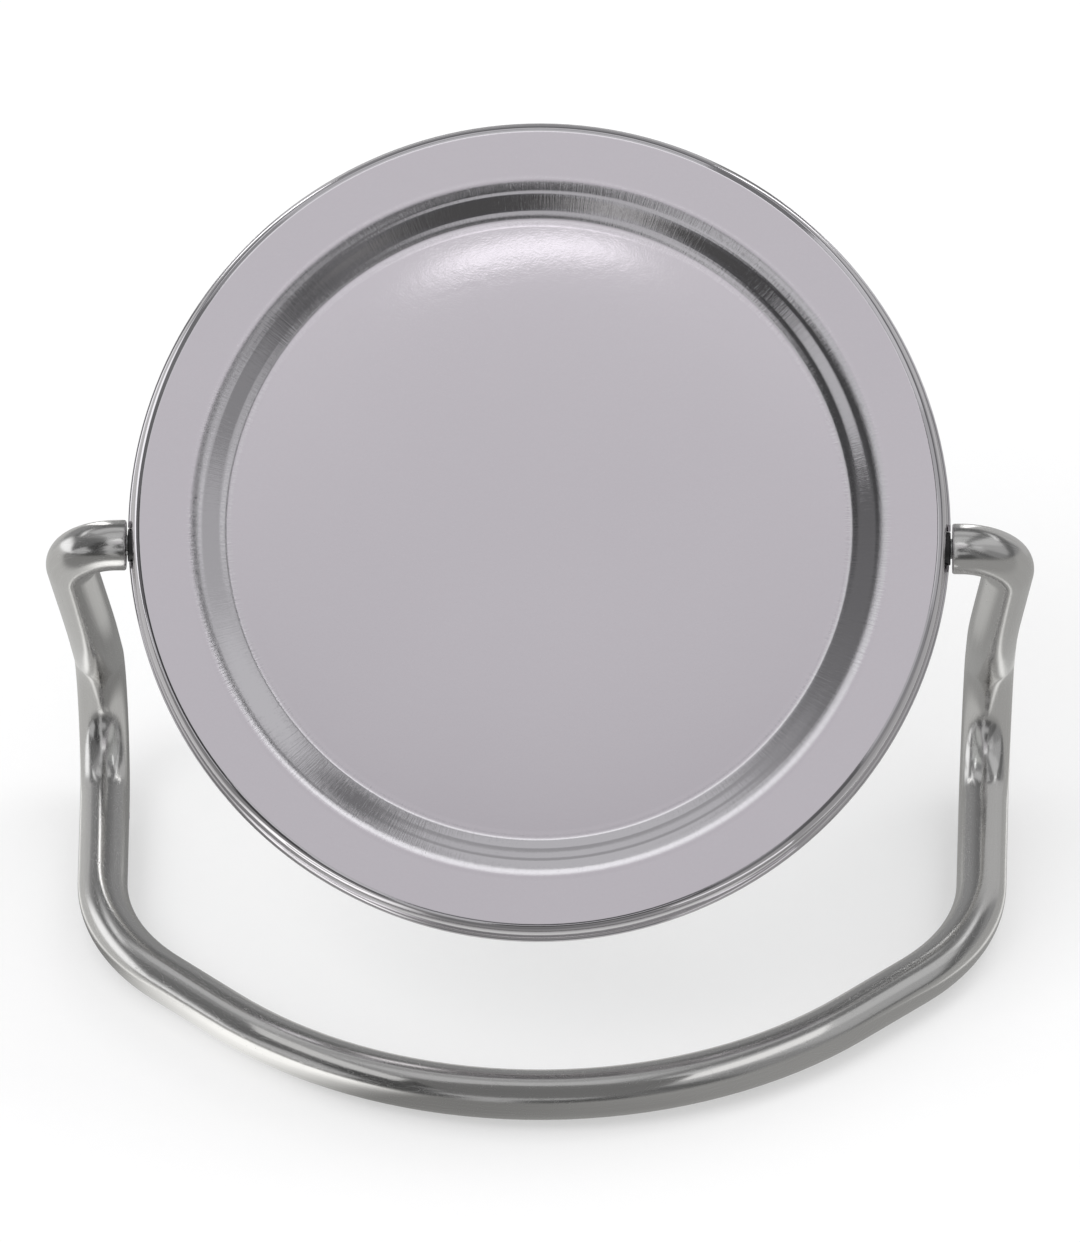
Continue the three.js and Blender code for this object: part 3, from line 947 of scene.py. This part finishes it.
def pale_floor():
    f = Finish("pale_floor")
    cloud = f.noise(f.space(), 6, 3)
    grain = f.noise(f.space(), 260, 3)
    colour = f.mix(cloud * 0.5 + grain * 0.5, (0.6, 0.6, 0.605, 1), (0.62, 0.62, 0.62, 1))
    return f.surface({"Base Color": colour, "Roughness": 0.85 + grain * 0.1, "Specular IOR Level": 0.1,
                      "Normal": f.bump(grain, 0.05, 0.1 * MM), "Emission Color": (1, 1, 1, 1),
                      "Emission Strength": 0.38})


clear_selection()
bpy.ops.mesh.primitive_plane_add(size=FLOOR_SIZE, location=(0, 0, 0))
floor = bpy.context.object
floor.name = "floor"
floor.data.materials.append(pale_floor())
floor.visible_glossy = False

world = bpy.data.worlds.new("soft_room")
bpy.context.scene.world = world
world.use_nodes = True
world.node_tree.nodes["Background"].inputs["Color"].default_value = (1, 1, 1, 1)
world.node_tree.nodes["Background"].inputs["Strength"].default_value = ROOM_LIGHT

for place, power in LAMPS:
    clear_selection()
    bpy.ops.object.light_add(type="AREA", location=place)
    lamp = bpy.context.object
    lamp.data.size = LAMP_SIZE
    lamp.data.energy = power
    lamp.rotation_euler = (-Vector(place)).to_track_quat("-Z", "Y").to_euler()
    lamp.visible_glossy = False
print("room light:", ROOM_LIGHT, "area lights:", len(LAMPS))

# %% [markdown]
# ## What the metal sees
# Polished metal has no look of its own: it shows the room. A studio hangs pale cloths and dark cards
# round the object for that. Here a large ball carries them all, and it is seen only in reflections. Two
# angles say where a far card hangs: `rake`, from overhead towards the front, and `side`, to the right.
# Windows are placed by `rise` above the level, and by `turn` either way from straight behind.
# Near cards are painted reflections made for the stepped ring. `clock` is the place on the ring that shows
# one, from 0 at the right to 90 at the top, and `spread` is how far it lies from what the flat face shows.

# %% The ball of cloths and cards
FAR_CARDS = [  # rake from, to, side from, to, blur, light
    ("overhead", -30, 20, -60, 60, 5, 0.24),
    ("behind", -110, -58, -90, 90, 8, 0.32),
    ("upper right", 5, 60, 25, 75, 8, 0.66),
    ("upper left", -20, 20, -60, -12, 6, 0.2),
    ("front left dark", 44, 100, -75, -5, 2, 0.14),
    ("front right", 50, 100, 14, 70, 6, 0.34),
]
WINDOWS = [  # rise from, to, blur, turn from, to, blur, light, on both sides of the room
    ("ring of daylight", 34.5, 41, 2, 40, 128, 20, 1.3),
    ("daylight at the sides", 34, 52, 4, 80, 118, 10, 0.9),
]
NEAR_CARDS = [  # clock from, to, spread from, to, light, seen from the middle of the face
    ("top wall", 83, 129, 5, 76, 0.085),
    ("top light strip", 66, 113, 26, 37, 0.52),
    ("gap in the dark", 66, 82, 24, 76, 0.52),
    ("gap line", 66, 82, 6, 23, 0.16),
    ("upper right line", 50, 66, 6, 10, 0.24),
    ("upper right cloth", 36, 66, 10, 30, 0.62),
    ("upper right cloth end", 52, 66, 28, 40, 0.6),
    ("upper right wall", 34, 52, 32, 76, 0.07),
    ("upper right wall end", 52, 66, 42, 76, 0.12),
    ("right dark", -8, 36, 19, 76, 0.07),
    ("right strip", 8, 37, 50, 76, 0.56),
    ("right low", -8, 8, 36, 76, 0.15),
    ("right cloth", -8, 36, 5, 18, 0.66),
    ("lower right wall", -38, -8, 20, 76, 0.2),
    ("lower right low", -22, -8, 20, 76, 0.17),
    ("lower right cloth", -38, -8, 5, 20, 0.72),
    ("corner wall", -52, -38, 26, 76, 0.33),
    ("bottom left wall", -129, -112, 20, 76, 0.21),
    ("bottom wall", -112, -52, 18, 76, 0.6),
    ("bottom wall far", -112, -52, 46, 57, 0.4),
    ("bottom bright", -120, -38, 9, 17.5, 1.15),
    ("corner cloth", -52, -38, 17, 26, 0.68),
    ("lower left bright", -140, -116, 5, 15, 1.2),
    ("left bright", -158, -140, 7, 13, 1.2),
    ("lower left line", -160, -128, 14, 19, 0.2),
    ("lower left wall", -158, -129, 20, 76, 0.64),
    ("left wall", -190, -158, 18, 76, 0.48),
    ("left cloth", -190, -172, 18, 33, 0.74),
    ("left line", -190, -158, 11, 16.5, 0.1),
    ("upper left cloth", 146, 172, 5, 38, 0.5),
    ("upper left wall", 146, 172, 40, 76, 0.3),
    ("upper left dark", 129, 146, 20, 76, 0.13),
    ("top left cloth", 113, 129, 12, 22, 0.45),
    ("top left wall", 116, 129, 22, 76, 0.2),
]
FACE_RAKE = 41
NEAR_SEAM = -150  # from here down, a clock angle is counted from 0 to 360, to pass the seam at the left
ROOM_RADIUS = 8


def covered(light, mask, level):
    """The light with a card of this level hung over it, where the mask is 1."""
    return light * (1 - mask) + mask * level


def reflected_room():
    f = Finish("reflected_room")
    direction = f.node("ShaderNodeVectorMath", {"operation": "NORMALIZE"}, {0: f.space()})
    x, y, z = direction.parts()
    degrees = math.degrees(1)
    rake = (y * -1).math("ARCTAN2", z) * degrees
    side = x.math("ARCSINE") * degrees
    rise = z.math("ARCSINE") * degrees
    turn = x.math("ARCTAN2", y).math("ABSOLUTE") * degrees
    light = 0.13 + 0.05 * rise.rise(-20, 60)
    for _, rake0, rake1, side0, side1, blur, level in FAR_CARDS:
        light = covered(light, rake.between(rake0, rake1, blur) * side.between(side0, side1, blur), level)
    for _, rise0, rise1, rise_blur, turn0, turn1, turn_blur, level in WINDOWS:
        pane = rise.between(rise0, rise1, rise_blur) * turn.between(turn0, turn1, turn_blur)
        light = covered(light, pane, level)
    low_left = (x * -1).rise(0.72, 0.86) * rise.between(-30, 22, 6)
    light = covered(light, low_left, 1.3)

    sight = math.radians(FACE_RAKE)
    ahead = z * math.cos(sight) - y * math.sin(sight)
    above = y * math.cos(sight) + z * math.sin(sight)
    spread = ahead.math("ARCCOSINE") * degrees
    clock = (above * -1).math("ARCTAN2", x * -1) * degrees
    whole_clock = (clock + 360).math("MODULO", 360)
    # Each near card is a painted reflection: it sets how bright one stretch of the stepped ring looks.
    for _, clock0, clock1, spread0, spread1, level in NEAR_CARDS:
        if clock0 < NEAR_SEAM:
            across = whole_clock.between(clock0 % 360, clock1 % 360, 1.5)
        else:
            across = clock.between(clock0, clock1, 1.5)
        light = covered(light, across * spread.between(spread0, spread1, 1), level)
    # The flat face's grey is set here directly, as a painted reflection.
    face = 1 - spread.rise(8, 9.5)
    light = covered(light, face, 0.655 + above * 0.75)
    # A thin glowing band is a painted highlight: the crescent on the crowned middle of the face.
    lamp = spread.between(5.5, 6.2, 0.25) * clock.between(-96, -62, 6)
    light = light + lamp * 0.95
    colour = f.mix(face, (0.985, 0.99, 1, 1), (1, 0.972, 1.01, 1))
    return f.glow(colour, light)


clear_selection()
bpy.ops.mesh.primitive_uv_sphere_add(segments=96, ring_count=48, radius=ROOM_RADIUS, location=(0, 0, 0))
room = bpy.context.object
room.name = "reflected_room"
room.data.materials.append(reflected_room())
only_seen_in_metal(room)
print("far cards:", len(FAR_CARDS), "near cards:", len(NEAR_CARDS))

# %% [markdown]
# The bar lies a few millimetres above the table, so its underside shows the table close by: grey in front,
# with a painted pool of light beside the left front. The looking glass faces the table from behind, and the
# table is painted pale under the head. Inside the legs the table is painted darker, as shade under the
# head, and outside them lighter. A second sheet, just under the floor, carries all that painted light and
# shade, and is seen only in the metal. Small cards behind the legs paint light on their outer sides in
# reflection, with a bright strip that paints the highlight line along each leg. Over the bow a dark flag
# paints shade into the middle of its reflection, keeping the big cloth out, between two bright cards that
# paint its highlights.

# %% The table and the leg cards
TABLE_SIZE = 14
TABLE_DROP = 0.5 * MM


def reflected_table():
    f = Finish("reflected_table")
    x, y, _ = f.space().parts()
    outward = x.math("ABSOLUTE")
    behind = y.rise(-0.06, -0.02)
    painted_lit_side = outward.rise(0.094, 0.101)
    # Painted shade: inside the legs the table is darker, as under the head; outside them it is painted
    # light.
    light = 0.27 + 0.1 * x.rise(-0.02, 0.06)
    light = covered(light, painted_lit_side * behind, 0.6 - 0.14 * x.rise(-0.01, 0.01))
    # A painted highlight: a thin bright line along the legs' outer edge, as the legs seen in the arms.
    light = light + outward.between(0.097, 0.101, 0.0015) * behind * 0.6
    # A painted pool of light on the table beside the left front of the bow.
    painted_light_pool = 1 - distance((x + 0.085) / 0.042, (y + 0.075) / 0.05).rise(0.5, 1.3)
    light = light + painted_light_pool * 1.2
    # A painted pale patch on the table under the head, which the looking glass shows.
    under = 1 - distance(x / 0.066, (y - 0.02) / 0.085).rise(0.7, 1.1)
    light = covered(light, under, 0.6)
    far = (y * -1).rise(0.35, 0.5)
    bearing = x / (y * -1)
    far_light = 0.085 + bearing.between(-0.34, -0.12, 0.02) * 0.4 + bearing.rise(0.38, 0.44) * 0.12
    light = covered(light, far, far_light)
    return f.glow((1, 1, 0.985, 1), light)


clear_selection()
bpy.ops.mesh.primitive_plane_add(size=TABLE_SIZE, location=(0, 0, -TABLE_DROP))
table = bpy.context.object
table.name = "reflected_table"
table.data.materials.append(reflected_table())
only_seen_in_metal(table)


def hang_card(name, size, place, light, flat=False, swing=0):
    """A small glowing card: its size, middle and light. A flat one lies level, swung by some degrees."""
    f = Finish(name)
    grain = f.noise(f.space(), 40, 2)
    glow = f.glow((1, 1, 1, 1), light * 0.95 + grain * light * 0.1)
    clear_selection()
    tip = 0 if flat else math.radians(90)
    bpy.ops.mesh.primitive_plane_add(size=1, location=place, rotation=(tip, 0, math.radians(swing)))
    card = bpy.context.object
    card.name = name
    card.scale = (size[0], size[1], 1)
    bpy.ops.object.transform_apply(location=True, rotation=True, scale=True)
    card.data.materials.append(glow)
    only_seen_in_metal(card)
    print("card", name, "light", light)


# These cards light nothing and are painted reflections on the stand: the leg cards paint the legs' outer
# sides light, the strips paint the highlight line along each leg, the flag paints shade into the bow's
# middle, and the bow cards paint its two highlights.
hang_card("leg_card_left", (0.115, 0.085), (-0.2725, 0.2, 0.0425), 0.56)
hang_card("leg_card_right", (0.22, 0.2), (0.224, 0.2, 0.1), 0.54)
hang_card("leg_highlight_strip_left", (0.027, 0.12), (-0.1265, 0.2, 0.14), 2.6)
hang_card("leg_highlight_strip_right", (0.022, 0.12), (0.099, 0.2, 0.14), 2.3)
hang_card("bow_shade_flag", (0.07, 0.045), (0.004, -0.0915, 0.025), 0.2, flat=True)
hang_card("bow_card_left", (0.045, 0.012), (-0.0545, -0.0633, 0.026), 0.75, flat=True, swing=-40)
hang_card("bow_card_right", (0.045, 0.012), (0.056, -0.0633, 0.026), 1.1, flat=True, swing=40)

# %% [markdown]
# ## Colours as they are
# The view transform is set to Standard, so that a grey in the light stays the same grey when it is seen.

# %% View transform and light bounces
bpy.context.scene.view_settings.view_transform = "Standard"
bpy.context.scene.cycles.max_bounces = 8

import json
